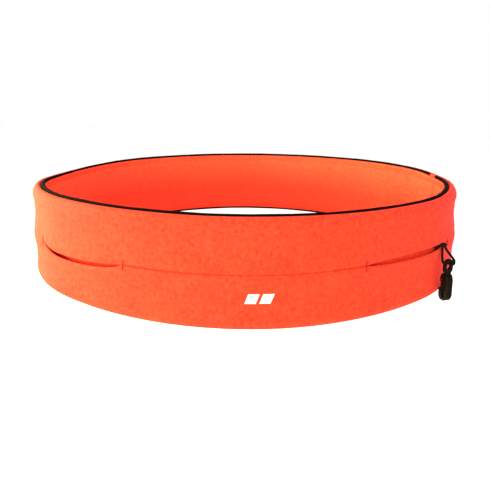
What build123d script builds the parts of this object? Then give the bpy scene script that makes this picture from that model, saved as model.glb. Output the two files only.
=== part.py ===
"""Tubular running belt: an endless double-walled band with two pocket slits and a key hook.

Units are millimetres, +Z is up.  The origin is the centre of the waist opening at half
height.  The wearer's front is -Y and the key hook hangs on the +X side of the front.
"""
import os
from math import atan2, cos, degrees, radians, sin

from build123d import *

# --- The waist opening, seen from above: twelve tangent arcs of 30 degrees each ---
HALF_WIDTH = 181.9
FRONT_DEPTH = 111.3
BACK_DEPTH = 120.0
FRONT_NOSE_RADIUS = 266.0
BACK_NOSE_RADIUS = 252.5
ARC_TURN = 30

# --- The band's cross-section; offsets are measured outward from the lining's top edge ---
EDGE_Z = 38.0  # the piping runs at this height above and below the middle
FLARE = 13.6  # the bottom edge stands this much further out than the top one
FABRIC = 1.0
POCKET_OFFSET = 7.6  # middle of the outer fabric
CREST_Z = 39.2  # middle of the fabric where it rolls over the edges
ROLL_START_OFFSET = 2.55
ROLL_START_Z = 37.2
ROLL_RADII = (1.6, 2.6)
PIPING_RADIUS = 1.2
PIPING_OFFSET = 0.8
PIPING_Z = 38.4
LINING_END_Z = 37.1

# --- The lengthwise seam and the two pocket slits in it ---
SEAM_Z = 1.4
SEAM_GAP = 0.6
THREAD_RADIUS = 0.28
SLIT_START = 17.7  # headings, in degrees from the front centre
SLIT_END = 41.5
SLIT_HEIGHT = 5.0
TACK_HEIGHT = 7.5
TACK_WIDTH = 1.6
TACK_THICKNESS = 0.45
SKIN_GAP = 0.03  # trim clears the fabric that it is sewn to by this much

# --- Topstitching inside the band ---
TOPSTITCH_RADIUS = 0.25
UPPER_STITCH_Z = 33.5
LOWER_STITCH_ZS = (-33.6, -35.7)

# --- The join that closes the loop, on the wearer's right ---
JOIN_HEADING = 91.0
JOIN_WRAP_TURN = 5.0
JOIN_WRAP_ARC = 125  # degrees round the piping, starting at these angles on the two edges
JOIN_WRAP_TOP_START = 75
JOIN_WRAP_BOTTOM_START = 160
JOIN_ROW_TURNS = (-1.2, 1.2)
JOIN_ROW_WIDTH_TURN = 0.25
JOIN_ROW_MARGIN = 1.0

# --- Reflective dashes on the front ---
MARK_X = (2.6, 12.6)
MARK_LENGTH = 7.6
MARK_HEIGHT = 7.0
MARK_SLANT = 2.6
MARK_Z = -15.2
MARK_THICKNESS = 0.14

# --- The webbing tab that holds the leash, at the outer end of the right slit ---
ROOT_HEADING = 37.4
TAB_START = 34.5
TAB_END = 45.5
TAB_HEIGHT = 4.4
TAB_THICKNESS = 1.3
ROOT_WIDTH = 4.4
ROOT_TOP = 2.3
ROOT_BOTTOM = 0.4
ROOT_OUT = 3.9
ROOT_DEPTH = 1.8
ROOT_CORNER = 0.8
TAB_TACK_HEADING = 43.2
TAB_TACK_HEIGHT = 5.2

# --- The leash cord, a flat elastic: (up, out) from the root point, along and away from the wall ---
CORD_WIDTH = 2.6
CORD_THICKNESS = 1.5
CORD_ROUTE = [
    (ROOT_BOTTOM, 1.1),
    (-6.5, 1.1),
    (-13.3, 2.0),
    (-13.3, 10.2),
    (-9.2, 10.2),
    (-1.6, 2.95),
    (ROOT_BOTTOM, 2.95),
]
CORD_RADII = [20.0, 2.2, 2.0, 3.5, 1.6]
EYE_PIVOT = (-13.3, 6.1)

# --- The swivel hook; heights are measured from the eye's pivot on the cord ---
EYE_YAW = 20.0
EYE_WIDTH = 8.2
EYE_HEIGHT = 12.4
EYE_TOP = 3.9
EYE_HOLE_WIDTH = 3.8
EYE_HOLE_TOP = 1.4
EYE_HOLE_BOTTOM = -4.6
EYE_THICKNESS = 2.8
EYE_ROUND = 0.85
BOSS_RADIUS = 2.4
BOSS_TOP = -7.4
BOSS_BOTTOM = -8.7
POST_RADIUS = 1.45
POST_CLEARANCE = 0.08
POST_HEAD_RADIUS = 2.0
POST_HEAD_TOP = -11.0
POST_BOTTOM = -12.2

HOOK_YAW = 35.0
HOOK_TOP = -8.9
HOOK_THICKNESS = 5.2
HOOK_HALF_TOP = 2.9
HOOK_SHOULDER_Y = -12.8
HOOK_SIDE = 4.4
HOOK_TAPER_Y = -23.5
HOOK_TAPER_MIDDLE = (3.1, -29.4)
HOOK_BOTTOM = (-0.6, -32.0)
HOOK_BEND_Y = -27.0
HOOK_THROAT = 2.0
HOOK_THROAT_TOP = -16.0
NOSE_UNDERSIDE = (-4.1, -30.6)
NOSE_OUT = -5.4
NOSE_BEND_Y = -26.8
NOSE_TOP = -22.0
NOSE_SHELF = -23.8
NOSE_LIP_IN = -4.35
SPINE_BEVEL = 0.9

GATE_PIVOT = (-2.6, -14.2)
GATE_OUT = -4.1
GATE_IN = -2.1
GATE_HEEL_IN = -1.5
GATE_HEEL_Y = -17.6
GATE_TIP = -23.5
GATE_HALF_THICKNESS = 1.5
GATE_BLOCK_TOP = -16.7
GATE_BLOCK_HALF_THICKNESS = 2.3
GATE_ROUND = 0.5
GATE_KNUCKLE_RADIUS = 1.5
GATE_SLOT_CLEARANCE = 0.2
GATE_SLOT_IN = -1.0
GATE_SLOT_BOTTOM = -18.2
PIN_RADIUS = 0.6
PIN_CLEARANCE = 0.05
KNUCKLE_TOP_Z = 0.1
SPRING_COIL_RADIUS = 1.1
SPRING_WIRE_RADIUS = 0.18
SPRING_PITCH = 0.42
SPRING_TURNS = 2.5
SPRING_ROOM = 0.4
SPRING_GAP = 0.05

# --- Distances that follow from the ones above ---
WALL_TILT = degrees(atan2(FLARE, 2 * EDGE_Z))
LEVEL_HALF_FABRIC = FABRIC / 2 / cos(radians(WALL_TILT))
SKIN_OFFSET = POCKET_OFFSET + LEVEL_HALF_FABRIC
UNDERSIDE_OFFSET = POCKET_OFFSET - LEVEL_HALF_FABRIC
LINING_OFFSET = 0.5
INNER_SKIN_OFFSET = LINING_OFFSET - LEVEL_HALF_FABRIC
STITCH_OFFSET = INNER_SKIN_OFFSET - TOPSTITCH_RADIUS - SKIN_GAP


def outward(heading):
    """Horizontal direction out of the band at a heading from the front centre."""
    return Vector(sin(radians(heading)), -cos(radians(heading)), 0)


def quadrant_radii(depth, nose_radius):
    """Nose, shoulder and side radii whose arcs reach from the nose to the half width."""
    s1, s2 = sin(radians(ARC_TURN)), sin(radians(2 * ARC_TURN))
    c1, c2 = cos(radians(ARC_TURN)), cos(radians(2 * ARC_TURN))
    across = HALF_WIDTH - nose_radius * s1
    deep = depth - nose_radius * (1 - c1)
    scale = (s2 - s1) * c2 - (1 - s2) * (c1 - c2)
    shoulder = (across * c2 - deep * (1 - s2)) / scale
    side = (deep * (s2 - s1) - across * (c1 - c2)) / scale
    return [nose_radius, shoulder, side]


def band_arcs():
    """The plan's arcs as (start heading, end heading, centre, radius)."""
    front = quadrant_radii(FRONT_DEPTH, FRONT_NOSE_RADIUS)
    back = quadrant_radii(BACK_DEPTH, BACK_NOSE_RADIUS)
    radii = front + back[::-1]
    centre = Vector(0, front[0] - FRONT_DEPTH, 0)
    right = []
    for step, radius in enumerate(radii):
        start = step * ARC_TURN
        if step:
            centre = centre + outward(start) * (radii[step - 1] - radius)
        right.append((start, start + ARC_TURN, centre, radius))
    left = [(-end, -start, Vector(-c.X, c.Y, 0), radius) for start, end, c, radius in right]
    return left[::-1] + right


ARCS = band_arcs()


def lean(z):
    """How much further out the wall stands at a height than at the top edge."""
    return FLARE * (EDGE_Z - z) / (2 * EDGE_Z)


def leaned(offset, z):
    return (offset + lean(z), z)


def section_plane(heading, centre, radius):
    """Vertical plane across the band: x is outward from the lining's top edge, y is up."""
    out = outward(heading)
    return Plane(origin=centre + out * radius, x_dir=out, z_dir=out.cross(Vector(0, 0, 1)))


def run_round_band(section, start=-180, end=180, mode=Mode.ADD):
    """Carry a cross-section round the band from one heading to another."""
    for arc_start, arc_end, centre, radius in ARCS:
        first = max(start, arc_start)
        last = min(end, arc_end)
        if last - first > 0.001:
            with BuildSketch(section_plane(first, centre, radius)) as face:
                section()
            revolve(face.sketch, Axis(centre, (0, 0, 1)), last - first, mode=mode)


def fabric_section(points, radii=None):
    """A fabric wall that follows a line of (offset, z) points."""
    with BuildLine() as line:
        if radii:
            FilletPolyline(*[leaned(*point) for point in points], radius=radii)
        else:
            Line(*[leaned(*point) for point in points])
    trace(line.line, line_width=FABRIC)


def cord_section(offset, z, radius):
    with Locations(leaned(offset, z)):
        Circle(radius)


def strip_section(inner, outer, bottom, top):
    """A flat strip parallel to the wall, between two offsets and two heights."""
    corners = [leaned(inner, bottom), leaned(outer, bottom), leaned(outer, top), leaned(inner, top)]
    Polygon(*corners, align=None)


def wall_section(side):
    """One outer panel: from the piping, over the roll and along the wall to the seam."""
    fabric_section(
        [
            (ROLL_START_OFFSET, side * ROLL_START_Z),
            (ROLL_START_OFFSET, side * CREST_Z),
            (POCKET_OFFSET, side * CREST_Z),
            (POCKET_OFFSET, SEAM_Z + side * SEAM_GAP / 2),
        ],
        ROLL_RADII,
    )


def slit_section():
    strip_section(
        POCKET_OFFSET - 2 * FABRIC,
        POCKET_OFFSET + 2 * FABRIC,
        SEAM_Z - SLIT_HEIGHT / 2,
        SEAM_Z + SLIT_HEIGHT / 2,
    )


def cut_slits():
    run_round_band(slit_section, SLIT_START, SLIT_END, Mode.SUBTRACT)
    run_round_band(slit_section, -SLIT_END, -SLIT_START, Mode.SUBTRACT)


# --- Fabric of the band ---
with BuildPart() as lining:
    run_round_band(lambda: fabric_section([(LINING_OFFSET, LINING_END_Z), (LINING_OFFSET, -LINING_END_Z)]))
lining.part.label = "lining"

with BuildPart() as outer_upper_panel:
    run_round_band(lambda: wall_section(1))
    cut_slits()
outer_upper_panel.part.label = "outer_upper_panel"

with BuildPart() as outer_lower_panel:
    run_round_band(lambda: wall_section(-1))
    cut_slits()
outer_lower_panel.part.label = "outer_lower_panel"

# --- Piping on both edges ---
with BuildPart() as top_piping:
    run_round_band(lambda: cord_section(PIPING_OFFSET, PIPING_Z, PIPING_RADIUS))
top_piping.part.label = "top_piping"

with BuildPart() as bottom_piping:
    run_round_band(lambda: cord_section(PIPING_OFFSET, -PIPING_Z, PIPING_RADIUS))
bottom_piping.part.label = "bottom_piping"


# --- Seam threads, in the gap between the two outer panels ---
def seam_thread_section():
    cord_section(POCKET_OFFSET, SEAM_Z, THREAD_RADIUS)


with BuildPart() as front_seam_thread:
    run_round_band(seam_thread_section, -SLIT_START, SLIT_START)
front_seam_thread.part.label = "front_seam_thread"

with BuildPart() as rear_seam_thread:
    run_round_band(seam_thread_section, SLIT_END, 180)
    run_round_band(seam_thread_section, -180, -SLIT_END)
rear_seam_thread.part.label = "rear_seam_thread"

# --- Topstitching on the lining ---
with BuildPart() as upper_topstitch:
    run_round_band(lambda: cord_section(STITCH_OFFSET, UPPER_STITCH_Z, TOPSTITCH_RADIUS))
upper_topstitch.part.label = "upper_topstitch"

with BuildPart() as lower_topstitch:
    for row_z in LOWER_STITCH_ZS:
        run_round_band(lambda: cord_section(STITCH_OFFSET, row_z, TOPSTITCH_RADIUS))
lower_topstitch.part.label = "lower_topstitch"


# --- Bar tacks at the ends of the slits ---
def run_tack(heading, height):
    """A bar tack across the seam; the radius of its arc turns its width into an angle."""
    inner = SKIN_OFFSET + SKIN_GAP
    radius = next(arc[3] for arc in ARCS if arc[0] <= heading < arc[1])
    half_turn = degrees(TACK_WIDTH / 2 / radius)
    run_round_band(
        lambda: strip_section(inner, inner + TACK_THICKNESS, SEAM_Z - height / 2, SEAM_Z + height / 2),
        heading - half_turn,
        heading + half_turn,
    )


with BuildPart() as left_slit_bar_tacks:
    run_tack(-SLIT_START, TACK_HEIGHT)
    run_tack(-SLIT_END, TACK_HEIGHT)
left_slit_bar_tacks.part.label = "left_slit_bar_tacks"

with BuildPart() as right_slit_bar_tack:
    run_tack(SLIT_START, TACK_HEIGHT)
right_slit_bar_tack.part.label = "right_slit_bar_tack"


# --- The loop's join ---
def wrap_section(side):
    """Folded fabric that hugs the piping from its crest round to the waist side."""
    hug_radius = PIPING_RADIUS + SKIN_GAP + FABRIC / 4
    centre = leaned(PIPING_OFFSET, side * PIPING_Z)
    with BuildLine() as line:
        CenterArc(centre, hug_radius, JOIN_WRAP_TOP_START if side > 0 else JOIN_WRAP_BOTTOM_START, JOIN_WRAP_ARC)
    trace(line.line, line_width=FABRIC / 2)


def build_join_wrap(side):
    half_turn = JOIN_WRAP_TURN / 2
    run_round_band(lambda: wrap_section(side), JOIN_HEADING - half_turn, JOIN_HEADING + half_turn)


with BuildPart() as top_join_wrap:
    build_join_wrap(1)
top_join_wrap.part.label = "top_join_wrap"

with BuildPart() as bottom_join_wrap:
    build_join_wrap(-1)
bottom_join_wrap.part.label = "bottom_join_wrap"


def join_row_section():
    """Thread rows down the lining and down both outer panels."""
    thread = 2 * TOPSTITCH_RADIUS
    inner_top = UPPER_STITCH_Z - JOIN_ROW_MARGIN
    inner_bottom = LOWER_STITCH_ZS[0] + JOIN_ROW_MARGIN
    skin = SKIN_OFFSET + SKIN_GAP
    strip_section(INNER_SKIN_OFFSET - SKIN_GAP - thread, INNER_SKIN_OFFSET - SKIN_GAP, inner_bottom, inner_top)
    strip_section(skin, skin + thread, SEAM_Z + SEAM_GAP, inner_top)
    strip_section(skin, skin + thread, inner_bottom, SEAM_Z - SEAM_GAP)


with BuildPart() as side_join_stitching:
    for row_turn in JOIN_ROW_TURNS:
        row = JOIN_HEADING + row_turn
        run_round_band(join_row_section, row - JOIN_ROW_WIDTH_TURN / 2, row + JOIN_ROW_WIDTH_TURN / 2)
side_join_stitching.part.label = "side_join_stitching"


# --- Reflective dashes ---
def mark_film_section():
    inner = SKIN_OFFSET + SKIN_GAP
    strip_section(inner, inner + MARK_THICKNESS, MARK_Z - MARK_HEIGHT, MARK_Z + MARK_HEIGHT)


with BuildPart() as reflective_mark:
    run_round_band(mark_film_section, -SLIT_START, SLIT_START)
    with BuildSketch(Plane.XZ) as dashes:
        for left in MARK_X:
            lower = MARK_Z - MARK_HEIGHT / 2
            upper = MARK_Z + MARK_HEIGHT / 2
            Polygon(
                (left - MARK_SLANT, lower),
                (left - MARK_SLANT + MARK_LENGTH, lower),
                (left + MARK_LENGTH, upper),
                (left, upper),
                align=None,
            )
    extrude(amount=2 * FRONT_DEPTH, mode=Mode.INTERSECT)
reflective_mark.part.label = "reflective_mark"

# --- Frames of the leash and hook ---
_, _, root_centre, root_radius = next(arc for arc in ARCS if arc[0] <= ROOT_HEADING < arc[1])
ROOT_POINT = root_centre + outward(ROOT_HEADING) * (root_radius + SKIN_OFFSET + lean(SEAM_Z)) + Vector(0, 0, SEAM_Z)
WALL_NORMAL = outward(ROOT_HEADING) * cos(radians(WALL_TILT)) + Vector(0, 0, sin(radians(WALL_TILT)))
ALONG_BAND = outward(ROOT_HEADING + 90)

# x runs along the band, y up the wall and z out of it.
HANG = Plane(origin=ROOT_POINT, x_dir=ALONG_BAND, z_dir=WALL_NORMAL)
# x is up the wall and y out of it: the plane that the leash hangs in.
LEASH = Plane(origin=ROOT_POINT, x_dir=HANG.y_dir, z_dir=HANG.x_dir)
PIVOT_POINT = HANG.from_local_coords(Vector(0, EYE_PIVOT[0], EYE_PIVOT[1]))


def turned_from_wall(yaw):
    """The wall's normal, turned about the hook's long axis towards the front."""
    return HANG.z_dir * cos(radians(yaw)) - HANG.x_dir * sin(radians(yaw))


EYE_NORMAL = turned_from_wall(EYE_YAW)
HOOK_SPINE = turned_from_wall(HOOK_YAW)
EYE = Plane(origin=PIVOT_POINT, x_dir=HANG.y_dir.cross(EYE_NORMAL), z_dir=EYE_NORMAL)
# x runs from the gate to the spine, y up and z across the hook's broad faces.
HOOK = Plane(origin=PIVOT_POINT, x_dir=HOOK_SPINE, z_dir=HOOK_SPINE.cross(HANG.y_dir))


def level_plane(frame, height):
    """Plane square to the hook's long axis at a height, its normal pointing down the hook."""
    return Plane(origin=frame.from_local_coords(Vector(0, height, 0)), x_dir=frame.x_dir, z_dir=frame.y_dir * -1)


def tab_section():
    """Webbing against the underside of the outer fabric."""
    outer = UNDERSIDE_OFFSET - SKIN_GAP
    strip_section(outer - TAB_THICKNESS, outer, SEAM_Z - TAB_HEIGHT / 2, SEAM_Z + TAB_HEIGHT / 2)


# --- The leash's webbing tab, with the fold that comes out through the slit ---
with BuildPart() as leash_tab:
    run_round_band(tab_section, TAB_START, TAB_END)
    with BuildSketch(HANG.offset(-ROOT_DEPTH)) as root_outline:
        with Locations((0, (ROOT_TOP + ROOT_BOTTOM) / 2)):
            RectangleRounded(ROOT_WIDTH, ROOT_TOP - ROOT_BOTTOM, ROOT_CORNER)
    extrude(amount=ROOT_DEPTH + ROOT_OUT)
leash_tab.part.label = "leash_tab"

with BuildPart() as leash_bar_tack:
    run_tack(TAB_TACK_HEADING, TAB_TACK_HEIGHT)
leash_bar_tack.part.label = "leash_bar_tack"

# --- The leash cord ---
with BuildPart() as leash_cord:
    with BuildLine(LEASH) as cord_line:
        cord_path = FilletPolyline(*CORD_ROUTE, radius=CORD_RADII)
    cord_end = Plane(origin=cord_path @ 0, x_dir=HANG.x_dir, z_dir=cord_path % 0)
    with BuildSketch(cord_end) as cord_section_outline:
        Ellipse(CORD_WIDTH / 2, CORD_THICKNESS / 2)
    sweep(cord_section_outline.sketch, path=cord_path)
leash_cord.part.label = "leash_cord"
print("cord length", round(cord_path.length, 1))

# --- The swivel eye ---
with BuildPart() as hook_eye:
    with BuildSketch(EYE.offset(-EYE_THICKNESS / 2)) as eye_outline:
        with Locations((0, EYE_TOP - EYE_HEIGHT / 2)):
            SlotOverall(EYE_HEIGHT, EYE_WIDTH, rotation=90)
        with Locations((0, (EYE_HOLE_TOP + EYE_HOLE_BOTTOM) / 2)):
            SlotOverall(EYE_HOLE_TOP - EYE_HOLE_BOTTOM, EYE_HOLE_WIDTH, rotation=90, mode=Mode.SUBTRACT)
    extrude(amount=EYE_THICKNESS)
    fillet(hook_eye.edges(), EYE_ROUND)
    with BuildSketch(level_plane(EYE, BOSS_TOP)) as boss_outline:
        Circle(BOSS_RADIUS)
    extrude(amount=BOSS_TOP - BOSS_BOTTOM)
    with BuildSketch(level_plane(EYE, BOSS_BOTTOM)) as post_outline:
        Circle(POST_RADIUS)
    extrude(amount=BOSS_BOTTOM - POST_BOTTOM)
    with BuildSketch(level_plane(EYE, POST_HEAD_TOP)) as head_outline:
        Circle(POST_HEAD_RADIUS)
    extrude(amount=POST_HEAD_TOP - POST_BOTTOM)
hook_eye.part.label = "hook_eye"

# --- The hook's body ---
slot_half = GATE_HALF_THICKNESS + GATE_SLOT_CLEARANCE
with BuildPart() as hook_body:
    with BuildSketch(HOOK.offset(-HOOK_THICKNESS / 2)) as hook_outline:
        with BuildLine() as hook_edge:
            shoulders = Polyline(
                (-HOOK_THROAT, HOOK_THROAT_TOP),
                (-HOOK_SIDE, HOOK_THROAT_TOP),
                (-HOOK_SIDE, HOOK_SHOULDER_Y),
                (-HOOK_HALF_TOP, HOOK_TOP),
                (HOOK_HALF_TOP, HOOK_TOP),
                (HOOK_SIDE, HOOK_SHOULDER_Y),
                (HOOK_SIDE, HOOK_TAPER_Y),
            )
            taper = ThreePointArc(shoulders @ 1, HOOK_TAPER_MIDDLE, HOOK_BOTTOM)
            underside = ThreePointArc(taper @ 1, NOSE_UNDERSIDE, (NOSE_OUT, NOSE_BEND_Y))
            nose = Polyline(
                underside @ 1,
                (NOSE_OUT, NOSE_TOP),
                (NOSE_LIP_IN, NOSE_TOP),
                (NOSE_LIP_IN, NOSE_SHELF),
                (-HOOK_THROAT, NOSE_SHELF),
                (-HOOK_THROAT, HOOK_BEND_Y),
            )
            throat = ThreePointArc(
                nose @ 1,
                (0, HOOK_BEND_Y - HOOK_THROAT),
                (HOOK_THROAT, HOOK_BEND_Y),
            )
            Polyline(throat @ 1, (HOOK_THROAT, HOOK_THROAT_TOP), shoulders @ 0)
        make_face()
    extrude(amount=HOOK_THICKNESS)
    broad_faces = hook_body.faces().filter_by(Axis(HOOK.origin, HOOK.z_dir))
    outline_edges = broad_faces.edges()
    spine_edges = outline_edges.filter_by(lambda edge: HOOK.to_local_coords(edge @ 0.5).X > HOOK_HALF_TOP)
    chamfer(spine_edges, SPINE_BEVEL)
    # The bore and its counterbore hold the eye's post and head.
    with BuildSketch(level_plane(HOOK, HOOK_TOP + POST_CLEARANCE)) as bore_outline:
        Circle(POST_RADIUS + POST_CLEARANCE)
    extrude(amount=HOOK_TOP - POST_BOTTOM + 2 * POST_CLEARANCE, mode=Mode.SUBTRACT)
    with BuildSketch(level_plane(HOOK, POST_HEAD_TOP + POST_CLEARANCE)) as head_room:
        Circle(POST_HEAD_RADIUS + POST_CLEARANCE)
    extrude(amount=POST_HEAD_TOP - POST_BOTTOM + 2 * POST_CLEARANCE, mode=Mode.SUBTRACT)
    # The gate swings in a slot between two cheeks.
    with BuildSketch(HOOK.offset(-slot_half)) as gate_slot:
        with Locations(GATE_PIVOT):
            Circle(GATE_KNUCKLE_RADIUS + GATE_SLOT_CLEARANCE)
        with Locations((GATE_SLOT_IN, GATE_PIVOT[1])):
            Rectangle(
                HOOK_SIDE,
                GATE_PIVOT[1] - GATE_SLOT_BOTTOM,
                align=(Align.MAX, Align.MAX),
            )
    extrude(amount=2 * slot_half, mode=Mode.SUBTRACT)
    with BuildSketch(HOOK.offset(-HOOK_THICKNESS)) as pin_hole:
        with Locations(GATE_PIVOT):
            Circle(PIN_RADIUS)
    extrude(amount=2 * HOOK_THICKNESS, mode=Mode.SUBTRACT)
hook_body.part.label = "hook_body"

# --- The sprung gate ---
with BuildPart() as hook_gate:
    with BuildSketch(HOOK.offset(-GATE_HALF_THICKNESS)) as gate_outline:
        with BuildLine() as gate_edge:
            Polyline(
                (GATE_OUT, GATE_PIVOT[1]),
                (GATE_HEEL_IN, GATE_PIVOT[1]),
                (GATE_IN, GATE_HEEL_Y),
                (GATE_IN, GATE_TIP),
                (GATE_OUT, GATE_TIP),
                close=True,
            )
        make_face()
    extrude(amount=2 * GATE_HALF_THICKNESS)
    fillet(hook_gate.edges().filter_by(Axis(HOOK.origin, HOOK.y_dir)), GATE_ROUND)
    # Below the cheeks the gate is nearly as thick as the body.
    with BuildSketch(level_plane(HOOK, GATE_BLOCK_TOP)) as block_outline:
        with Locations(((GATE_OUT + GATE_IN) / 2, 0)):
            RectangleRounded(GATE_IN - GATE_OUT, 2 * GATE_BLOCK_HALF_THICKNESS, GATE_ROUND)
    extrude(amount=GATE_BLOCK_TOP - GATE_TIP)
    with BuildSketch(HOOK.offset(-GATE_HALF_THICKNESS)) as knuckle:
        with Locations(GATE_PIVOT):
            Circle(GATE_KNUCKLE_RADIUS)
    extrude(amount=2 * GATE_HALF_THICKNESS)
    with BuildSketch(HOOK.offset(KNUCKLE_TOP_Z)) as spring_room:
        with Locations(GATE_PIVOT):
            Circle(GATE_KNUCKLE_RADIUS + SPRING_ROOM)
    extrude(amount=GATE_HALF_THICKNESS, mode=Mode.SUBTRACT)
    with BuildSketch(HOOK.offset(-HOOK_THICKNESS)) as gate_bore:
        with Locations(GATE_PIVOT):
            Circle(PIN_RADIUS + PIN_CLEARANCE)
    extrude(amount=2 * HOOK_THICKNESS, mode=Mode.SUBTRACT)
hook_gate.part.label = "hook_gate"

with BuildPart() as gate_pin:
    with BuildSketch(HOOK.offset(-HOOK_THICKNESS / 2)) as pin_outline:
        with Locations(GATE_PIVOT):
            Circle(PIN_RADIUS)
    extrude(amount=HOOK_THICKNESS)
gate_pin.part.label = "gate_pin"

# The spring's coil sits on the pin beside the gate's knuckle.
coil_height = KNUCKLE_TOP_Z + SPRING_WIRE_RADIUS + SPRING_GAP
coil_base = HOOK.from_local_coords(Vector(*GATE_PIVOT, coil_height))
coil_axis = Plane(origin=coil_base, x_dir=HOOK.x_dir, z_dir=HOOK.z_dir)
with BuildPart() as gate_spring:
    with BuildLine(coil_axis) as coil_line:
        coil = Helix(
            SPRING_PITCH,
            SPRING_PITCH * SPRING_TURNS,
            SPRING_COIL_RADIUS,
            direction=coil_axis.z_dir,
        )
    with BuildSketch(coil ^ 0) as wire_end:
        Circle(SPRING_WIRE_RADIUS)
    sweep(wire_end.sketch, path=coil, is_frenet=True)
gate_spring.part.label = "gate_spring"

print("swing axis point", HANG.from_local_coords(Vector(0, ROOT_BOTTOM, ROOT_OUT)), "axis", HANG.x_dir)
print("pivot point", PIVOT_POINT, "sway axis", HANG.z_dir, "long axis", HANG.y_dir)
print("gate pivot", HOOK.from_local_coords(Vector(*GATE_PIVOT, 0)), "axis", HOOK.z_dir)
print("hook seat", HOOK.from_local_coords(Vector(0, HOOK_BEND_Y, 0)))

PARTS = [
    lining,
    outer_upper_panel,
    outer_lower_panel,
    top_piping,
    bottom_piping,
    front_seam_thread,
    rear_seam_thread,
    upper_topstitch,
    lower_topstitch,
    left_slit_bar_tacks,
    right_slit_bar_tack,
    top_join_wrap,
    bottom_join_wrap,
    side_join_stitching,
    reflective_mark,
    leash_tab,
    leash_bar_tack,
    leash_cord,
    hook_eye,
    hook_body,
    hook_gate,
    gate_pin,
    gate_spring,
]

os.makedirs("parts", exist_ok=True)
for piece in PARTS:
    export_step(piece.part, f"parts/{piece.part.label}.step")
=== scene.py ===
"""Tubular running belt: its knit walls, piping, stitches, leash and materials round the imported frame.

Lengths are millimetres until a mesh is made.  A heading is the direction out of the band in plan,
in degrees from the front centre (-Y) towards +X.  An offset is measured outward from the lining's
top edge, and every wall leans outward below it.
"""
import math

import bmesh
import bpy
import numpy as np
from mathutils import Matrix, Vector


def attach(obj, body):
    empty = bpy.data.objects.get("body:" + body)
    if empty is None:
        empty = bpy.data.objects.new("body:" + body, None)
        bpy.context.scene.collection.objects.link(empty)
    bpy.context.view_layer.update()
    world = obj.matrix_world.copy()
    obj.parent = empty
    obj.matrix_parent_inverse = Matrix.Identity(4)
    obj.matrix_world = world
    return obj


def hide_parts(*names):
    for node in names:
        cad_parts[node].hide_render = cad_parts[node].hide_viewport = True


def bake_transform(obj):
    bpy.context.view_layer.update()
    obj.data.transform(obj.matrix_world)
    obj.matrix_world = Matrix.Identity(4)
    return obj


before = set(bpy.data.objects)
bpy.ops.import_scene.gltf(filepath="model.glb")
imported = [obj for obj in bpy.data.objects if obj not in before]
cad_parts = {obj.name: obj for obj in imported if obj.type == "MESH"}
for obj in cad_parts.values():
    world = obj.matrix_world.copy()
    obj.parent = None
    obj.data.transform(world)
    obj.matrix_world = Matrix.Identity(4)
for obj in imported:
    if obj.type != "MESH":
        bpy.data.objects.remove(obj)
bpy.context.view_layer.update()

MM = 0.001

# --- The band's plan and walls, as the CAD model has them ---
HALF_WIDTH = 181.9
FRONT_DEPTH = 111.3
BACK_DEPTH = 120.0
FRONT_NOSE_RADIUS = 266.0
BACK_NOSE_RADIUS = 252.5
ARC_TURN = 30.0
EDGE_Z = 38.0
FLARE = 13.6
FABRIC = 1.0
WALL_OFFSET = 7.6
CREST_Z = 39.2
LINING_END_Z = 37.1
SEAM_Z = 1.4
SLIT_START = 17.7
SLIT_END = 41.5
JOIN_HEADING = 91.0
JOIN_ROW_TURN = 1.2

# --- The rolled edges and the piping, a little fuller than the CAD model's ---
ROLL_OFFSET = 2.6
ROLL_END_Z = 37.3
ROLL_WIDTH = 1.7
ROLL_DROP = 6.2
BACK_ROLL_DROP = 1.4
PIPING_OFFSET = 0.4
PIPING_Z = 38.6
PIPING_RADIUS = 1.7
BACK_PIPING_SLIM = 0.26

# --- How the knit lies ---
RIGHT_LIP_LIFT = 2.5
RIGHT_LIP_DROP = 2.3
LEFT_LIP_SAG = 3.0
LEFT_LIP_GAP = 3.7
FRONT_SEAM_GAP = 0.34
REAR_SEAM_GAP = 0.12
RIM_DIP = 3.1
BACK_DIP = 0.9
FRONT_DIP = 2.3
JOIN_DIP = 0.9
HEM_LIFT = 1.3
LINING_OFFSET = 0.5

# --- Stitches: heights of the rows, spacing along them, and threads ---
UPPER_STITCH_ROWS = (33.8, 31.4)
LOWER_STITCH_ROWS = (-33.6, -35.7)
SEAM_PITCH, SEAM_STITCH = 2.3, 2.0
TOP_PITCH, TOP_STITCH = 2.6, 2.2
SEAM_RADIUS = 0.24
FINE_RADIUS = 0.2
SLIT_TACK = (6.6, 1.7)
LEASH_TACK = (4.8, 1.5)

# --- The reflective dashes: left ends, size, slant and lower edge ---
DASH_LEFTS = (2.6, 12.6)
DASH_LENGTH = 7.6
DASH_HEIGHT = 7.0
DASH_SLANT = 2.6
DASH_Z = -18.7
FILM_FACES = (0.02, 0.16)

# --- How finely the long pieces are divided: headings, then points across ---
PANEL_HEADINGS = 640
WALL_POINTS = 44
LINING_HEADINGS = 500
LINING_POINTS = 80
PIPING_HEADINGS = 720
PIPING_POINTS = 18

# --- The leash's places, as in the CAD model; its elastic and fold are slightly slimmer ---
ROOT_HEADING = 37.4
TAB_START = 34.5
TAB_END = 45.5
TAB_HEIGHT = 4.4
TAB_THICKNESS = 1.3
TAB_CUT = 3.4
TAB_TACK_HEADING = 43.2
ROOT_HALF_WIDTH = 2.1
ROOT_BOTTOM = 0.4
ROOT_TOP = 2.3
ROOT_OUT = 3.9
CORD_ROUTE = [
    (ROOT_BOTTOM, 1.1),
    (-6.5, 1.15),
    (-11.2, 1.85),
    (-13.3, 2.1),
    (-13.3, 4.2),
    (-13.3, 8.0),
    (-13.3, 10.2),
    (-11.3, 10.3),
    (-9.2, 10.0),
    (-1.6, 3.15),
    (ROOT_BOTTOM, 2.95),
]
CORD_WIDTH = 2.45
CORD_THICKNESS = 1.4

# --- The knit's texture and its painted shade, and the studio, in metres ---
WALE = 0.0009
COURSE = 0.0007
# Painted shade: the distance across a knit piece over which its colour darkens.
PAINTED_SHADE_REACH = 0.074
FLOOR_Z = -0.42
FLOOR_REACH = 6.0
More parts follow.
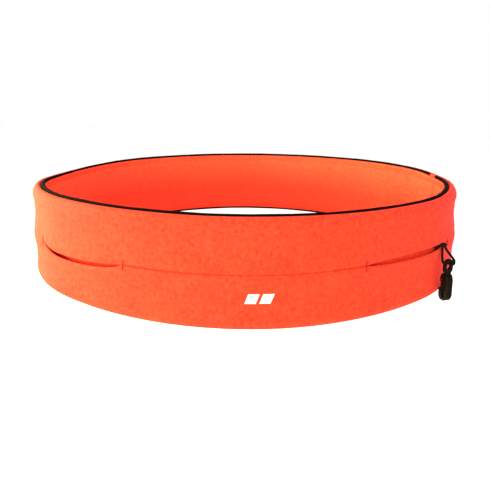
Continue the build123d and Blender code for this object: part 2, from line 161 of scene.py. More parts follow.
# Name, place, target, size, power and colour.
LIGHTS = [
    ("key_left", (-0.8, 0.02, 0.17), (-0.18, 0, 0), (0.4, 0.3), 19, (1.0, 0.96, 0.56)),
    ("front_left", (-0.9, -1.1, 0.3), (-0.05, 0, 0), (0.9, 0.5), 20, (1.0, 0.95, 0.6)),
    ("rim_right", (1.2, 0.35, 0.2), (0.18, 0, 0), (0.5, 0.6), 4, (1.0, 0.2, 0.8)),
]
CAMERA_PLACE = (0.000325, -0.30555, 0.10797)
CAMERA_DOWN = 0.43990
CAMERA_ROLL = 0.00376
SENSOR_WIDTH = 36.0
LENS = 23.51


# ------------------------------------------------------------------ plan and walls
def quadrant_radii(depth, nose_radius):
    """Nose, shoulder and side radii whose arcs reach from the nose to the half width."""
    s1, s2 = math.sin(math.radians(ARC_TURN)), math.sin(math.radians(2 * ARC_TURN))
    c1, c2 = math.cos(math.radians(ARC_TURN)), math.cos(math.radians(2 * ARC_TURN))
    across = HALF_WIDTH - nose_radius * s1
    painted_shade_colour = depth - nose_radius * (1 - c1)
    scale = (s2 - s1) * c2 - (1 - s2) * (c1 - c2)
    shoulder = (across * c2 - painted_shade_colour * (1 - s2)) / scale
    side = (painted_shade_colour * (s2 - s1) - across * (c1 - c2)) / scale
    return [nose_radius, shoulder, side]


def outward(heading):
    """Unit XY pointing out of the band at a heading."""
    turn = np.radians(heading)
    return np.stack([np.sin(turn), -np.cos(turn)], -1)


PLAN_RADII = quadrant_radii(FRONT_DEPTH, FRONT_NOSE_RADIUS)
PLAN_RADII += quadrant_radii(BACK_DEPTH, BACK_NOSE_RADIUS)[::-1]
PLAN_CENTRES = [np.array([0.0, FRONT_NOSE_RADIUS - FRONT_DEPTH])]
for step in range(1, len(PLAN_RADII)):
    shift = PLAN_RADII[step - 1] - PLAN_RADII[step]
    PLAN_CENTRES.append(PLAN_CENTRES[-1] + outward(step * ARC_TURN) * shift)
PLAN_CENTRES = np.array(PLAN_CENTRES)
PLAN_RADII = np.array(PLAN_RADII)


def plan(heading, offset):
    """XY of points on the band at headings in (-180, 180] and offsets."""
    heading = (np.asarray(heading, float) + 180) % 360 - 180
    side = np.where(heading < 0, -1.0, 1.0)
    turn = np.abs(heading)
    arc = np.minimum((turn / ARC_TURN).astype(int), len(PLAN_RADII) - 1)
    xy = PLAN_CENTRES[arc] + outward(turn) * (PLAN_RADII[arc] + offset)[..., None]
    return np.stack([xy[..., 0] * side, xy[..., 1]], -1)


def run_length(heading):
    """Distance round the band from the front centre, for weaves that run along it."""
    heading = np.asarray(heading, float)
    turn = np.abs((heading + 180) % 360 - 180)
    total = np.zeros_like(turn)
    for arc, radius in enumerate(PLAN_RADII):
        part = np.clip(turn - arc * ARC_TURN, 0, ARC_TURN)
        total = total + np.radians(part) * (radius + WALL_OFFSET / 2)
    return np.where((heading + 180) % 360 - 180 < 0, -total, total)


def lean(z):
    """How much further out a wall stands at a height than at the top edge."""
    return FLARE * (EDGE_Z - z) / (2 * EDGE_Z)


def bump(x, centre, width):
    """A smooth hump, 1 at its centre."""
    return np.exp(-(((x - centre) / width) ** 2))


def settle(heading, z):
    """Height of a point once the rim dips at the front and the hips and the hem lifts at the left."""
    up = np.clip(z / EDGE_Z, 0, 1.1) ** 2
    down = np.clip(-z / EDGE_Z, 0, 1.1) ** 2
    dip = RIM_DIP * bump(heading, -104, 34) + BACK_DIP * bump(np.abs(heading), 180, 38)
    dip = dip + FRONT_DIP * bump(heading, 28, 48) + JOIN_DIP * bump(heading, 90, 13)
    return z - dip * up + HEM_LIFT * bump(heading, -32, 26) * down


def band_points(heading, offset, z):
    """Points in millimetres at headings, offsets (before the lean) and heights."""
    heading, offset, z = np.broadcast_arrays(heading, offset, z)
    xy = plan(heading, offset + lean(z))
    return np.concatenate([xy, settle(heading, z)[..., None]], -1)


def behind(heading):
    """0 round the front of the band, rising to 1 round its back."""
    t = np.clip((np.abs(heading) - 75) / 45, 0, 1)
    return t * t * (3 - 2 * t)


def slit_weight(heading, side):
    """0 outside the slit on that side, rising to 1 in its middle."""
    along = (np.asarray(heading) * side - SLIT_START) / (SLIT_END - SLIT_START)
    inside = (along > 0) & (along < 1)
    return np.where(inside, np.sin(np.pi * np.clip(along, 0, 1)) ** 0.55, 0.0)


def seam_gap(heading):
    """Half the gap between the two panels' edges along the seam."""
    return np.where(np.abs(heading) < SLIT_START, FRONT_SEAM_GAP, REAR_SEAM_GAP)


def upper_lip(heading):
    """Height of the upper panel's lower edge: it lifts at the right slit and sags at the left."""
    right, left = slit_weight(heading, 1), slit_weight(heading, -1)
    return SEAM_Z + seam_gap(heading) + RIGHT_LIP_LIFT * right**0.8 - LEFT_LIP_SAG * left**1.4


def lower_lip(heading):
    """Height of the lower panel's upper edge."""
    right, left = slit_weight(heading, 1), slit_weight(heading, -1)
    # The left slit gapes a little more towards its inner end.
    inner = np.clip((heading + SLIT_END) / (SLIT_END - SLIT_START), 0, 1)
    gape = LEFT_LIP_SAG * left**1.4 + LEFT_LIP_GAP * left**0.8 * (1 + 0.3 * inner)
    return SEAM_Z - seam_gap(heading) - RIGHT_LIP_DROP * right**0.45 - gape


WRINKLES = np.random.default_rng(11).uniform(-1, 1, (14, 4))


def drape(heading, z):
    """How far the outer knit stands off its even wall: soft swells, pulls and puckers."""
    turn = np.radians(heading)
    lift = -0.75 + 1.5 * bump(z, -1.5, 8.5) - 0.35 * bump(z, 17, 6) - 0.3 * bump(z, SEAM_Z, 2.2)
    for a, b, c, d in WRINKLES:
        waves = np.sin(turn * (4 + 9 * abs(a)) + z * 0.05 * b + 6 * c)
        lift = lift + 0.09 * d * waves * np.cos(z * 0.07 + 5 * a)
    for side in (-1, 1):
        for end, reach in ((SLIT_START, 5.0), (SLIT_END, 4.0)):
            lift = lift - 0.55 * bump(heading * side, end, reach) * bump(z, SEAM_Z, 9)
    # The leash's weight pulls a soft crease below the right slit's outer end.
    lift = lift - 0.7 * bump(heading, 33.5 - 0.05 * z, 2.6) * bump(z, -14, 13)
    lift = lift + 0.5 * bump(heading, 28.5 - 0.05 * z, 3.0) * bump(z, -12, 12)
    # The leash presses a shallow hollow into the knit under its back leg.
    lift = lift - 0.6 * bump(heading, ROOT_HEADING, 1.8) * bump(z, -4, 6)
    return lift


# ------------------------------------------------------------------ meshes
def new_object(name, points, faces, uv=None, smooth=True):
    """A mesh object from points in millimetres; uv is one pair of millimetres for each point."""
    mesh = bpy.data.meshes.new(name)
    mesh.from_pydata((np.asarray(points) * MM).tolist(), [], faces)
    if uv is not None:
        layer = mesh.uv_layers.new(name="UVMap")
        corners = np.zeros(len(mesh.loops), np.int32)
        mesh.loops.foreach_get("vertex_index", corners)
        layer.data.foreach_set("uv", (np.asarray(uv)[corners] * MM).astype(np.float32).ravel())
    mesh.polygons.foreach_set("use_smooth", [smooth] * len(mesh.polygons))
    mesh.validate()
    mesh.update()
    thing = bpy.data.objects.new(name, mesh)
    bpy.context.scene.collection.objects.link(thing)
    return thing


def tube_faces(rows, columns, closed_ring):
    """Quads round a rows x columns tube of points: a closed ring, or capped at its two ends."""
    faces = []
    for i in range(rows if closed_ring else rows - 1):
        for j in range(columns):
            a, b = i * columns, (i + 1) % rows * columns
            k = (j + 1) % columns
            faces.append((a + j, b + j, b + k, a + k))
    if not closed_ring:
        faces.append(tuple(range(columns)))
        faces.append(tuple((rows - 1) * columns + k for k in range(columns))[::-1])
    return faces


def thicken(line, thickness, end_steps=3):
    """Closed outlines round open (offset, z) lines; line is headings x points x 2."""
    along = np.gradient(line, axis=1)
    along /= np.linalg.norm(along, axis=-1, keepdims=True) + 1e-9
    across = np.stack([along[..., 1], -along[..., 0]], -1) * thickness / 2
    turns = np.linspace(0, np.pi, end_steps + 2)[1:-1]

    def end_cap(point, out, ahead):
        return [point + out * np.cos(t) + ahead * np.sin(t) * thickness / 2 for t in turns]

    first = end_cap(line[:, 0], -across[:, 0], -along[:, 0])
    last = end_cap(line[:, -1], across[:, -1], along[:, -1])
    outline = [line + across, np.stack(last, 1), (line - across)[:, ::-1], np.stack(first, 1)]
    return np.concatenate(outline, 1)


def sweep(name, headings, outline, closed_ring):
    """A band of closed outlines (headings x points x 2) carried round the plan."""
    rows, columns = outline.shape[:2]
    grid = band_points(headings[:, None], outline[..., 0], outline[..., 1])
    step = np.linalg.norm(np.diff(outline, axis=1, prepend=outline[:, :1]), axis=-1)
    around = np.repeat(run_length(headings)[:, None], columns, 1)
    uv = np.stack([around, np.cumsum(step, 1)], -1).reshape(-1, 2)
    return new_object(name, grid.reshape(-1, 3), tube_faces(rows, columns, closed_ring), uv)


def ring_headings(count):
    """Even headings all the way round."""
    return -180 + 360 * (np.arange(count) + 0.5) / count


def arc_points(centre, radius, start, end, count):
    """Points on an arc between two angles in degrees."""
    turns = np.radians(np.linspace(start, end, count))
    return np.stack([centre[0] + radius * np.cos(turns), centre[1] + radius * np.sin(turns)], -1)


def panel_line(headings, side):
    """Middle line of an outer panel from its lip at the seam, over the roll, to the piping."""
    lip = upper_lip(headings) if side > 0 else lower_lip(headings)
    wall_top = side * (CREST_Z - ROLL_DROP)
    t = np.linspace(0, 1, WALL_POINTS) ** 1.6
    z = lip[:, None] + (wall_top - lip[:, None]) * t[None, :]
    heading = np.repeat(headings[:, None], len(t), 1)
    fade = np.clip(np.abs(z - wall_top) / 6, 0, 1)
    d = WALL_OFFSET + drape(heading, z) * fade * fade * (3 - 2 * fade)
    from_lip = np.abs(z - lip[:, None])
    d = d - 0.55 * np.exp(-from_lip / 0.5)
    left = slit_weight(headings, -1)[:, None]
    right = slit_weight(headings, 1)[:, None]
    if side > 0:
        d = d + left * (1.1 * bump(from_lip, 3.6, 2.4) - 0.25 * bump(from_lip, 0, 2.0))
        d = d + right * 0.35 * np.exp(-from_lip / 1.5)
    else:
        d = d - left * 0.2 * np.exp(-from_lip / 1.8)
        d = d + right * (0.5 * np.exp(-from_lip / 2.0) - 0.3 * bump(from_lip, 6, 3))
    wall = np.stack([d, z], -1)
    crest_offset = ROLL_OFFSET + ROLL_WIDTH
    outer = arc_points((0, 0), 1.0, 0, 89.9, 11)[1:] ** 1.25
    outer = outer * [WALL_OFFSET - crest_offset, ROLL_DROP] + [crest_offset, CREST_Z - ROLL_DROP]
    inner = arc_points((crest_offset, CREST_Z - ROLL_WIDTH), ROLL_WIDTH, 90, 180, 8)
    end = np.array([[ROLL_OFFSET, ROLL_END_Z]])
    roll = np.concatenate([outer, inner, end]) * [1, side]
    roll = np.repeat(roll[None], len(headings), 0)
    swell = 0.25 * np.sin(np.radians(headings) * 7 + 1) + 0.15 * np.sin(np.radians(headings) * 17)
    fall = side * 0.4 * swell - (BACK_ROLL_DROP * behind(headings) if side > 0 else 0)
    roll[:, :-3, 1] += fall[:, None] * np.linspace(0.1, 1, roll.shape[1] - 3)[None]
    return np.concatenate([wall, roll], 1)


def lining_line(headings):
    """Middle line of the lining: it dips where rows of stitches hold it."""
    z = np.linspace(LINING_END_Z, -LINING_END_Z, LINING_POINTS)[None, :].repeat(len(headings), 0)
    turn = np.radians(headings)[:, None]
    d = LINING_OFFSET + 0.12 * np.sin(turn * 5 + z * 0.03) * np.cos(turn * 11 - z * 0.05)
    for row in UPPER_STITCH_ROWS + LOWER_STITCH_ROWS:
        d = d + 0.28 * bump(z, row, 0.55)
    between = bump(z, sum(UPPER_STITCH_ROWS) / 2, 0.7) + bump(z, sum(LOWER_STITCH_ROWS) / 2, 0.6)
    edges = bump(z, UPPER_STITCH_ROWS[0], 1.6) + bump(z, LOWER_STITCH_ROWS[1], 1.6)
    d = d - 0.14 * between
    d = d + 0.10 * np.sin(turn * 190) * edges
    return np.stack([d, z], -1)


def finish_piece(thing, nodes, material):
    """Gives a piece of the band its material, hides the CAD nodes that it stands for and hangs it on the
    band's body.
    """
    thing.data.materials.append(material)
    if nodes:
        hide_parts(*nodes)
    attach(thing, "band")


# ------------------------------------------------------------------ threads
def threads(name, paths, radius, sides=6):
    """Short threads in one mesh; paths is threads x points x 3, in millimetres."""
    paths = np.asarray(paths, float)
    count, points = paths.shape[:2]
    along = np.gradient(paths, axis=1)
    along /= np.linalg.norm(along, axis=-1, keepdims=True) + 1e-9
    up = np.where(np.abs(along[..., 2:3]) > 0.8, [[[1.0, 0, 0]]], [[[0, 0, 1.0]]])
    first = np.cross(along, up)
    first /= np.linalg.norm(first, axis=-1, keepdims=True) + 1e-9
    second = np.cross(along, first)
    taper = np.sqrt(np.clip(1 - np.linspace(-1, 1, points) ** 6, 0.12, 1)) * radius
    turns = np.linspace(0, 2 * np.pi, sides, endpoint=False)
    ring = (
        first[:, :, None] * np.cos(turns)[None, None, :, None]
        + second[:, :, None] * np.sin(turns)[None, None, :, None]
    )
    tubes = paths[:, :, None] + ring * taper[None, :, None, None]
    faces = []
    for thread in range(count):
        base = thread * points * sides
        for i in range(points - 1):
            for j in range(sides):
                k = (j + 1) % sides
                a, b = base + i * sides, base + (i + 1) * sides
                faces.append((a + j, a + k, b + k, b + j))
        faces.append(tuple(base + j for j in range(sides))[::-1])
        faces.append(tuple(base + (points - 1) * sides + j for j in range(sides)))
    length = np.linspace(0, 1, points)[None, :, None] * np.ones((count, 1, sides))
    around = np.ones((count, points, 1)) * (turns / (2 * np.pi))[None, None]
    uv = np.stack([length * 2.4, around], -1).reshape(-1, 2)
    return new_object(name, tubes.reshape(-1, 3), faces, uv)


def stitch_row(start, end, z, offset, pitch, length, rise, points=5):
    """Running stitches along the band between two headings, as thread paths."""
    headings = np.linspace(start, end, 2000)
    distance = run_length(headings)
    count = int(abs(distance[-1] - distance[0]) / pitch)
    middles = np.interp((np.arange(count) + 0.5) / count, np.linspace(0, 1, len(headings)), distance)
    reach = np.linspace(-0.5, 0.5, points) * length
    at = np.interp(middles[:, None] + reach[None], distance, headings)
    height = offset + rise * np.cos(np.linspace(-1.3, 1.3, points))[None] * np.ones_like(at)
    drop = 0.10 * np.linspace(-1, 1, points)[None] * np.ones_like(at)
    return band_points(at, height, z + drop)


def full_row(z, offset, rise):
    """One row of topstitching all the way round, in two halves that meet at the back."""
    halves = ((-179.99, 0), (0, 179.99))
    return np.concatenate([stitch_row(*half, z, offset, TOP_PITCH, TOP_STITCH, rise) for half in halves])


def skin_offset(headings, side, z):
    """The outer face's offsets on a panel at headings and heights."""
    wall = panel_line(np.asarray(headings, float), side)[:, :WALL_POINTS]
    heights = np.broadcast_to(z, (len(wall),))
    middle = [np.interp(at * side, w[:, 1] * side, w[:, 0]) for w, at in zip(wall, heights)]
    return np.array(middle) + FABRIC / 2


def bar_tack(heading, height, width):
    """A dense bar of satin stitches across the seam, with two core threads under them."""
    radius = PLAN_RADII[int(abs(heading) // ARC_TURN)] + WALL_OFFSET + lean(SEAM_Z)
    half = math.degrees(width / 2 / radius)
    paths = []
    rows = 13
    for row in range(rows):
        z = SEAM_Z + height * (row / (rows - 1) - 0.5)
        slant = 0.22 * (-1 if row % 2 else 1)
        at = heading + np.linspace(-half, half, 5)
        side = 1 if z > SEAM_Z else -1
        lift = skin_offset([heading], side, z)[0] + 0.05
        rise = lift + 0.28 * np.cos(np.linspace(-1.4, 1.4, 5))
        paths.append(band_points(at, rise, z + slant * np.linspace(-1, 1, 5)))
    for shift in (-0.45, 0.45):
        z = np.linspace(SEAM_Z - height / 2, SEAM_Z + height / 2, 5)
        lift = np.array([skin_offset([heading], 1 if v > SEAM_Z else -1, v)[0] for v in z])
        paths.append(band_points(heading + half * shift * np.ones(5), lift + 0.12, z))
    return paths


# ------------------------------------------------------------------ materials
class Nodes:
    """A small helper that adds and joins shader nodes."""

    def __init__(self, name):
        self.material = bpy.data.materials.new(name)
        self.material.use_nodes = True
        self.tree = self.material.node_tree
        self.shader = self.tree.nodes["Principled BSDF"]

    def add(self, kind, **settings):
        node = self.tree.nodes.new(kind)
        for key, value in settings.items():
            if key.startswith("in_"):
                node.inputs[key[3:].replace("_", " ")].default_value = value
            else:
                setattr(node, key, value)
        return node

    def join(self, out, into):
        self.tree.links.new(out, into)

    def feed(self, socket, value):
        """Joins another node's output to a socket, or sets the socket to a constant."""
        if hasattr(value, "is_linked"):
            self.join(value, socket)
        else:
            socket.default_value = value

    def maths(self, operation, a, b=None):
        node = self.add("ShaderNodeMath", operation=operation)
        self.feed(node.inputs[0], a)
        if b is not None:
            self.feed(node.inputs[1], b)
        return node.outputs[0]

    def noise(self, vector, scale, detail=3.0, roughness=0.55):
        node = self.add("ShaderNodeTexNoise", in_Scale=scale, in_Detail=detail, in_Roughness=roughness)
        self.join(vector, node.inputs["Vector"])
        return node.outputs["Fac"]

    def ramp(self, factor, stops):
        node = self.add("ShaderNodeValToRGB")
        node.color_ramp.elements[0].position, node.color_ramp.elements[0].color = stops[0]
        node.color_ramp.elements[1].position, node.color_ramp.elements[1].color = stops[-1]
        for position, colour in stops[1:-1]:
            node.color_ramp.elements.new(position).color = colour
        self.join(factor, node.inputs["Fac"])
        return node.outputs["Color"]

    def mix(self, factor, a, b, blend="MIX"):
        node = self.add("ShaderNodeMix", data_type="RGBA", blend_type=blend)
        for index, value in ((0, factor), (6, a), (7, b)):
            self.feed(node.inputs[index], value)
        return node.outputs[2]

    def bumps(self, height, strength, distance, normal=None):
        node = self.add("ShaderNodeBump", in_Strength=strength, in_Distance=distance)
        self.join(height, node.inputs["Height"])
        if normal is not None:
            self.join(normal, node.inputs["Normal"])
        return node.outputs["Normal"]


def set_shader(shader, **values):
    """Sets constants on a shader; an underscore stands for a space in the socket's name."""
    for key, value in values.items():
        shader.inputs[key.replace("_", " ")].default_value = value


def rgba(red, green, blue):
    return (red, green, blue, 1.0)


def knit(name, light, middle, dark, worn, painted_shade_foot=1.0):
    """Fine heathered stretch knit: wales and courses with painted shade between them, mottled yarn and
    slightly rubbed patches.

    The last argument is what the colour is darkened to across the piece: painted shade that deepens over
    its reach from the piece's first edge.
    """
    n = Nodes(name)
    uv = n.add("ShaderNodeUVMap", uv_map="UVMap").outputs["UV"]
    place = n.add("ShaderNodeTexCoord").outputs["Object"]
    split = n.add("ShaderNodeSeparateXYZ")
    n.join(uv, split.inputs[0])
    along, across = split.outputs["X"], split.outputs["Y"]
    wobble = n.noise(place, 260, 2)
    phase = n.maths("MULTIPLY", wobble, 1.6)
    wales = n.maths("SINE", n.maths("ADD", n.maths("MULTIPLY", along, 2 * math.pi / WALE), phase))
    # Each loop leans the other way on the two sides of its wale, as a knit's V does.
    side = n.maths("ABSOLUTE", wales)
    slanted = n.maths("MULTIPLY", across, 2 * math.pi / COURSE)
    slanted = n.maths("ADD", slanted, n.maths("MULTIPLY", side, 2.2))
    courses = n.maths("SINE", n.maths("ADD", slanted, phase))
    loops = n.maths("MULTIPLY", n.maths("ADD", side, n.maths("MULTIPLY", courses, 0.45)), 0.5)
    heather = n.noise(place, 1150, 4, 0.7)
    stretched = n.add("ShaderNodeMapping")
    n.join(uv, stretched.inputs["Vector"])
    stretched.inputs["Scale"].default_value = (1.0, 0.28, 1.0)
    streaks = n.noise(stretched.outputs[0], 700, 3, 0.6)
    broad = n.noise(place, 26, 3)
    mottle = n.noise(place, 340, 4, 0.75)
    tone = n.maths("ADD", n.maths("MULTIPLY", heather, 0.2), n.maths("MULTIPLY", streaks, 0.2))
    tone = n.maths("ADD", tone, n.maths("MULTIPLY", mottle, 0.5))
    tone = n.maths("ADD", tone, n.maths("MULTIPLY", broad, 0.1))
    colour = n.ramp(tone, [(0.40, dark), (0.5, middle), (0.60, light)])
    # Painted shade: where the loops' height is low, in the grooves between the wales, the colour is
    # darker.
    loop_groove_shade = n.ramp(loops, [(0.0, rgba(0.84, 0.84, 0.84)), (0.6, rgba(1, 1, 1))])
    colour = n.mix(0.45, colour, loop_groove_shade, "MULTIPLY")
    rub = n.ramp(n.noise(place, 70, 5, 0.65), [(0.6, rgba(0, 0, 0)), (0.8, rgba(1, 1, 1))])
    colour = n.mix(n.maths("MULTIPLY", rub, 0.35), colour, worn)
    # Painted shade: further across the piece the colour is multiplied down towards the last argument,
    # darker and redder.
    painted_shade_colour = rgba(painted_shade_foot * 0.12 + 0.88, painted_shade_foot, painted_shade_foot)
    shade = n.ramp(n.maths("DIVIDE", across, PAINTED_SHADE_REACH), [(0.12, rgba(1, 1, 1)), (0.6, painted_shade_colour)])
    n.join(n.mix(1.0, colour, shade, "MULTIPLY"), n.shader.inputs["Base Color"])
    rough = n.maths("ADD", n.maths("MULTIPLY", heather, 0.2), 0.72)
    n.join(rough, n.shader.inputs["Roughness"])
    fine = n.bumps(loops, 0.35, 0.0002)
    fuzz = n.bumps(heather, 0.25, 0.00025, fine)
    n.join(n.bumps(broad, 0.25, 0.0012, fuzz), n.shader.inputs["Normal"])
    set_shader(n.shader, Sheen_Weight=0.12, Sheen_Roughness=0.45, Specular_IOR_Level=0.15)
    n.shader.inputs["Sheen Tint"].default_value = light
    return n.material


def twisted_thread(name, colour, dark):
    """Sewing thread: fine diagonal plies, with painted shade in the grooves between them."""
    n = Nodes(name)
    uv = n.add("ShaderNodeUVMap", uv_map="UVMap").outputs["UV"]
    split = n.add("ShaderNodeSeparateXYZ")
    n.join(uv, split.inputs[0])
    turn = n.maths("MULTIPLY", split.outputs["X"], 9000)
    turn = n.maths("ADD", turn, n.maths("MULTIPLY", split.outputs["Y"], 6283))
    plies = n.maths("SINE", turn)
    # Painted shade: the colour darkens in the grooves between the plies.
    shade = n.ramp(n.maths("ADD", n.maths("MULTIPLY", plies, 0.5), 0.5), [(0.0, dark), (0.7, colour)])
    n.join(shade, n.shader.inputs["Base Color"])
    n.join(n.bumps(plies, 0.4, 0.00005), n.shader.inputs["Normal"])
    set_shader(n.shader, Roughness=0.6, Sheen_Weight=0.04, Specular_IOR_Level=0.15)
    return n.material


def ribbed_black(name, colour, dark, rib, cross):
    """Black elastic or webbing: ribs across it, with painted light on their tops, a slightly lighter
    brown, and painted shade in the hollows between them.
    """
    n = Nodes(name)
    uv = n.add("ShaderNodeUVMap", uv_map="UVMap").outputs["UV"]
    place = n.add("ShaderNodeTexCoord").outputs["Object"]
    split = n.add("ShaderNodeSeparateXYZ")
    n.join(uv, split.inputs[0])
    ribs = n.maths("SINE", n.maths("MULTIPLY", split.outputs["X"], 2 * math.pi / rib))
    weft = n.maths("SINE", n.maths("MULTIPLY", split.outputs["Y"], 2 * math.pi / cross))
    weave = n.maths("ADD", n.maths("MULTIPLY", n.maths("MULTIPLY", ribs, weft), 0.35), 0.5)
    fibres = n.noise(place, 1600, 3)
    # Painted light and shade: the weave lightens the rib tops and darkens the hollows; the fibre noise
    # adds random tone.
    tone = n.maths("ADD", n.maths("MULTIPLY", weave, 0.6), n.maths("MULTIPLY", fibres, 0.4))
    n.join(n.ramp(tone, [(0.25, dark), (0.75, colour)]), n.shader.inputs["Base Color"])
    n.join(n.bumps(tone, 0.5, 0.0002), n.shader.inputs["Normal"])
    set_shader(n.shader, Roughness=0.85, Sheen_Weight=0.01, Sheen_Roughness=0.4, Specular_IOR_Level=0.02)
    return n.material


def moulded(name, colour, scuffed):
    """Satin moulded plastic: fine spark grain, soft edges and light scuffs."""
    n = Nodes(name)
    place = n.add("ShaderNodeTexCoord").outputs["Object"]
    grain = n.noise(place, 2600, 2)
    cloud = n.noise(place, 190, 4)
    rub = n.ramp(cloud, [(0.55, rgba(0, 0, 0)), (0.8, rgba(1, 1, 1))])
    n.join(n.mix(n.maths("MULTIPLY", rub, 0.4), colour, scuffed), n.shader.inputs["Base Color"])
    n.join(n.maths("ADD", n.maths("MULTIPLY", cloud, 0.22), 0.42), n.shader.inputs["Roughness"])
    edge = n.add("ShaderNodeBevel", samples=6)
    edge.inputs["Radius"].default_value = 0.00035
    n.join(n.bumps(grain, 0.18, 0.00006, edge.outputs["Normal"]), n.shader.inputs["Normal"])
    set_shader(n.shader, Specular_IOR_Level=0.05)
    return n.material


def film(name):
    """Pale reflective film with fine glass-bead speckle."""
    n = Nodes(name)
    place = n.add("ShaderNodeTexCoord").outputs["Object"]
    beads = n.noise(place, 4200, 2)
    speckle = n.ramp(beads, [(0.3, rgba(0.72, 0.73, 0.74)), (0.7, rgba(0.95, 0.95, 0.96))])
    n.join(speckle, n.shader.inputs["Base Color"])
    n.join(n.bumps(beads, 0.2, 0.00004), n.shader.inputs["Normal"])
    set_shader(n.shader, Roughness=0.42, Specular_IOR_Level=0.5)
    return n.material


def steel(name):
    """Plain drawn steel."""
    n = Nodes(name)
    place = n.add("ShaderNodeTexCoord").outputs["Object"]
    drawn = n.noise(place, 900, 3)
    grey = n.ramp(drawn, [(0.3, rgba(0.42, 0.42, 0.44)), (0.7, rgba(0.62, 0.62, 0.64))])
    n.join(grey, n.shader.inputs["Base Color"])
    n.join(n.maths("ADD", n.maths("MULTIPLY", drawn, 0.2), 0.25), n.shader.inputs["Roughness"])
    set_shader(n.shader, Metallic=1.0)
    return n.material


OUTER_KNIT = knit(
    "outer_knit",
    light=rgba(0.95, 0.069, 0.025),
    middle=rgba(0.90, 0.047, 0.0175),
    dark=rgba(0.80, 0.028, 0.010),
    worn=rgba(0.96, 0.085, 0.036),
)
INNER_KNIT = knit(
    "inner_knit",
    light=rgba(0.98, 0.084, 0.032),
    middle=rgba(0.94, 0.064, 0.024),
    dark=rgba(0.86, 0.044, 0.016),
    worn=rgba(0.98, 0.11, 0.04),
    # Painted shade: the lining's colour is darkened and reddened towards its bottom.
    painted_shade_foot=0.5,
)
SEAM_THREAD = twisted_thread("seam_thread", rgba(0.5, 0.022, 0.006), rgba(0.28, 0.012, 0.004))
TACK_THREAD = twisted_thread("tack_thread", rgba(0.58, 0.028, 0.008), rgba(0.34, 0.014, 0.004))
TOP_THREAD = twisted_thread("top_thread", rgba(0.62, 0.04, 0.012), rgba(0.42, 0.022, 0.008))
PIPING = ribbed_black(
    "piping_elastic", rgba(0.005, 0.0035, 0.002), rgba(0.0015, 0.001, 0.001), 0.0011, 0.0009
)
WEBBING = ribbed_black(
    "black_webbing", rgba(0.016, 0.012, 0.010), rgba(0.003, 0.003, 0.002), 0.0009, 0.0012
)
LEASH = ribbed_black(
    "leash_braid", rgba(0.010, 0.008, 0.007), rgba(0.002, 0.002, 0.0015), 0.0008, 0.0008
)
HOOK_PLASTIC = moulded("hook_plastic", rgba(0.006, 0.0035, 0.0015), rgba(0.014, 0.009, 0.006))
FILM = film("reflective_film")
STEEL = steel("plain_steel")


# ------------------------------------------------------------------ the band
def build_band():
    headings = ring_headings(PANEL_HEADINGS)
    for name, side in (("outer_upper_panel", 1), ("outer_lower_panel", -1)):
        panel = sweep(name + "_knit", headings, thicken(panel_line(headings, side), FABRIC), True)
        finish_piece(panel, [name], OUTER_KNIT)
    headings = ring_headings(LINING_HEADINGS)
    lining = sweep("lining_knit", headings, thicken(lining_line(headings), FABRIC), True)
    finish_piece(lining, ["lining"], INNER_KNIT)


def build_piping():
    headings = ring_headings(PIPING_HEADINGS)
    turns = np.linspace(0, 2 * np.pi, PIPING_POINTS, endpoint=False)
    turn = np.radians(headings)[:, None]
    slim = 1 - BACK_PIPING_SLIM * behind(headings)[:, None]
    waver = 1 + 0.05 * np.sin(turn * 23) + 0.03 * np.sin(turn * 61 + turns[None] * 2)
    radius = PIPING_RADIUS * slim * waver
    across, up = PIPING_OFFSET + radius * np.cos(turns), radius * np.sin(turns)
    for name, side in (("top_piping", 1), ("bottom_piping", -1)):
        outline = np.stack([across, side * PIPING_Z + up], -1)
        piping = sweep(name + "_elastic", headings, outline, True)
        finish_piece(piping, [name], PIPING)


def slit_hem(name, side, lip_side):
    """The folded edge behind a slit's lip, turned back into the tube."""
    headings = np.linspace(SLIT_START - 0.5, SLIT_END + 0.5, 90) * side
    if side < 0:
        headings = headings[::-1]
    lip = upper_lip(headings) if lip_side > 0 else lower_lip(headings)
    line = panel_line(headings, lip_side)[:, 0, 0]
    t = np.linspace(0, 1, 14)
    turning, after = t / 0.25 * np.pi / 2, t - 0.25
    inset = np.where(t < 0.25, 0.8 * np.sin(turning), 0.8 + 0.2 * after)
    reach = np.where(t < 0.25, 0.5 * (1 - np.cos(turning)), 0.5 + 7.0 * after)
    d = line[:, None] - 0.15 - inset[None]
    z = lip[:, None] + lip_side * (reach[None] + 0.1)
    hem = sweep(name, headings, thicken(np.stack([d, z], -1), 0.6 * FABRIC), False)
    finish_piece(hem, [], OUTER_KNIT)


def build_hems():
    for side, word in ((1, "right"), (-1, "left")):
        slit_hem(word + "_slit_upper_hem", side, 1)
        slit_hem(word + "_slit_lower_hem", side, -1)


def build_facing():
    """The pocket's facing: it rises from the right slit's lower lip, behind the opening."""
    headings = np.linspace(SLIT_START + 0.3, SLIT_END - 4.5, 80)
    lip = lower_lip(headings)
    t = np.linspace(0, 1, 16)
    z = lip[:, None] - 2.0 + 9.0 * t[None]
    start = panel_line(headings, -1)[:, 0, 0] - 3.6
    fold = 1.5 * bump(t, 0.34, 0.07) - 0.5 * bump(t, 0.48, 0.07)
    d = start[:, None] - 2.6 * np.sin(t * np.pi / 2)[None] + fold[None]
    facing = sweep("right_slit_facing", headings, thicken(np.stack([d, z], -1), 0.8 * FABRIC), False)
    finish_piece(facing, [], OUTER_KNIT)


